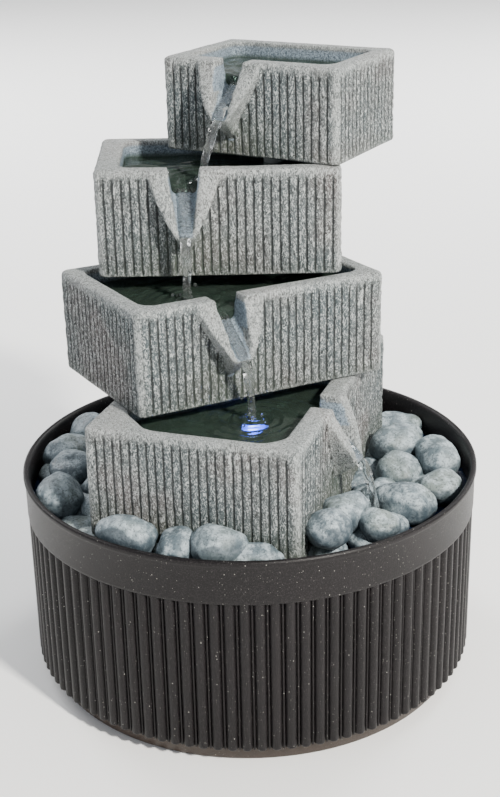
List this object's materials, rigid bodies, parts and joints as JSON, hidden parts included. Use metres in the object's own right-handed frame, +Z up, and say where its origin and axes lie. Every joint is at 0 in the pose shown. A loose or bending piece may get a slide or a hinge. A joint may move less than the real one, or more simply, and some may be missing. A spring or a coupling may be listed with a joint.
{
  "type": "tabletop water fountain",
  "caption": "Stack of turned square basins with pouring spouts, standing among pebbles on a tray in a round ribbed reservoir bowl, with a pump, riser and underwater light.",
  "frame": {"origin": "centre of the reservoir bowl's foot, on the table", "axes": "+Z up; -Y is the front; +X is to the right when seen from the front"},
  "size_m": [0.3, 0.3, 0.397],
  "materials": {
    "bowl": "dark brown-black moulded plastic, satin, with fine pale flecks",
    "casting": "grey cast stone with a dry-brushed, finely combed face",
    "pebble": "smooth river stone, wet and dull in patches",
    "pump_plastic": "black moulded plastic",
    "pump_plate": "black potting plate",
    "core_steel": "stacked electrical steel",
    "copper": "varnished copper winding",
    "rubber": "black rubber",
    "cup_rubber": "grey soft rubber",
    "shaft_ceramic": "ground white ceramic",
    "magnet": "dark pressed ferrite",
    "white_plastic": "white moulded plastic",
    "sponge": "open-cell foam",
    "dial": "pale grey moulded plastic",
    "hose": "clear soft hose",
    "riser": "translucent white pipe",
    "tray": "black moulded plastic",
    "screw": "stainless steel",
    "light_body": "black plastic",
    "board": "white coated board",
    "emitter": "cool white emitter dome",
    "lens": "clear lens, lit blue-white"
  },
  "bodies": {
    "reservoir": {"reservoir_bowl": "bowl", "bowl_floor": "bowl", "cable_grommet": "rubber", "pump_housing": "pump_plastic", "stator_core": "core_steel", "stator_coil": "copper", "pump_back_plate": "pump_plate", "pump_cable_gland": "rubber", "impeller_shaft": "shaft_ceramic", "rear_shaft_bush": "rubber", "front_shaft_bush": "rubber", "impeller_cover": "pump_plastic", "cover_seal": "rubber", "suction_cups": "cup_rubber", "riser_hose": "hose"},
    "impeller": {"impeller_magnet": "magnet", "impeller_wheel": "white_plastic"},
    "inlet_cover": {"inlet_cover": "pump_plastic", "inlet_sponge": "sponge"},
    "flow_dial": {"flow_dial": "dial"},
    "tower": {"pebble_tray": "tray", "tray_screws": "screw", "base_tier": "casting", "lower_tier": "casting", "upper_tier": "casting", "top_tier": "casting", "riser_tube": "riser", "riser_seal": "rubber", "riser_nut": "pump_plastic", "led_housing": "light_body", "led_gasket": "rubber", "led_board": "board", "led_emitter": "emitter", "led_lens": "lens", "pebbles_front": "pebble", "pebbles_right": "pebble", "pebbles_left": "pebble", "pebbles_back": "pebble"}
  },
  "joints": [
    {"name": "tower_lift", "type": "slide", "parent": "reservoir", "child": "tower", "axis": [0, 0, 1], "range_m": [0, 0.12]},
    {"name": "impeller_spin", "type": "hinge", "parent": "reservoir", "child": "impeller", "pos_m": [0.02, 0.055, 0.03], "axis": [0, 1, 0], "continuous": true},
    {"name": "inlet_cover_slide", "type": "slide", "parent": "reservoir", "child": "inlet_cover", "axis": [0, -1, 0], "range_m": [0, 0.03]},
    {"name": "flow_dial_turn", "type": "hinge", "parent": "inlet_cover", "child": "flow_dial", "pos_m": [0.02, 0.0385, 0.03], "axis": [0, 1, 0], "range_deg": [0, 45]}
  ]
}
